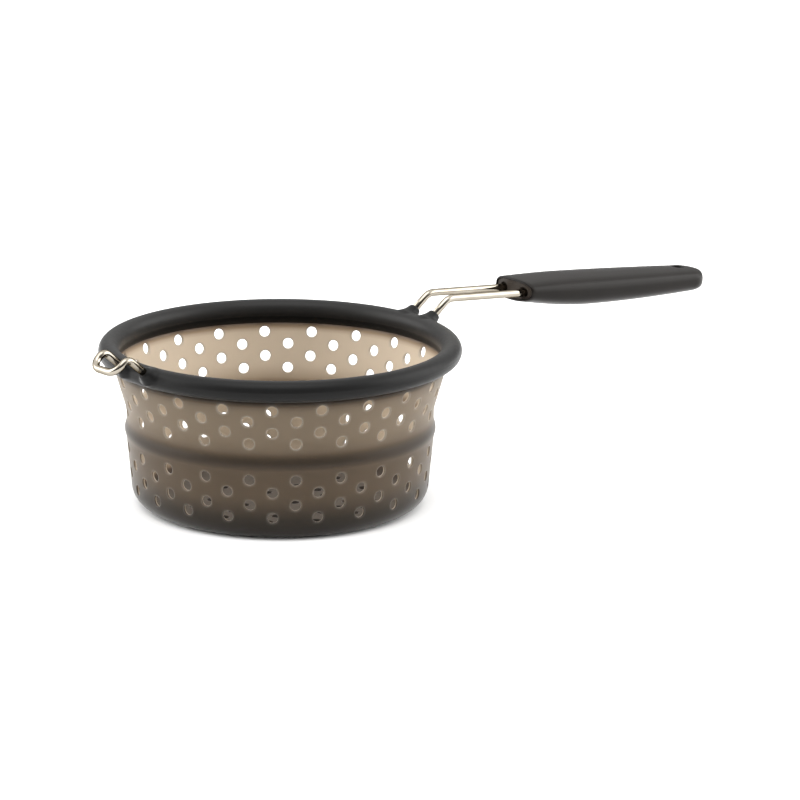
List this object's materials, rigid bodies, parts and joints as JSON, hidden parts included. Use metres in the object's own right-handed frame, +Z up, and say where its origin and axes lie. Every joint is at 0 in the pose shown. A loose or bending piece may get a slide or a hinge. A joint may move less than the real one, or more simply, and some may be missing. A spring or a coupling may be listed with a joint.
{
  "type": "collapsible strainer basket",
  "caption": "Round perforated soft strainer basket that folds flat, with a thick rim, a long two-wire handle with a grip, and a wire hook for the edge of a pot.",
  "frame": {"origin": "centre of the basket's flat underside, on the surface it stands on", "axes": "+Z up along the basket's axis, +X out along the handle, hook at -X"},
  "size_m": [0.4103, 0.19, 0.0984],
  "materials": {
    "rim_silicone": "satin",
    "wall_silicone": "satin",
    "steel": "polished",
    "grip_core": "matte",
    "grip_soft": "matte"
  },
  "bodies": {
    "frame": {"rim_bead": "rim_silicone", "rim_hoop": "steel", "upper_wall": "wall_silicone", "fold_upper": "wall_silicone", "handle_wire": "steel", "hook_wire": "steel", "grip_core": "grip_core", "grip_sleeve": "grip_soft"},
    "cup": {"fold_lower": "wall_silicone", "lower_wall": "wall_silicone", "base_corner": "wall_silicone", "floor_disc": "wall_silicone"}
  },
  "joints": [
    {"name": "collapse", "type": "slide", "parent": "frame", "child": "cup", "axis": [0, 0, 1], "range_m": [0, 0.034], "deforming": ["fold_upper", "fold_lower"]}
  ]
}
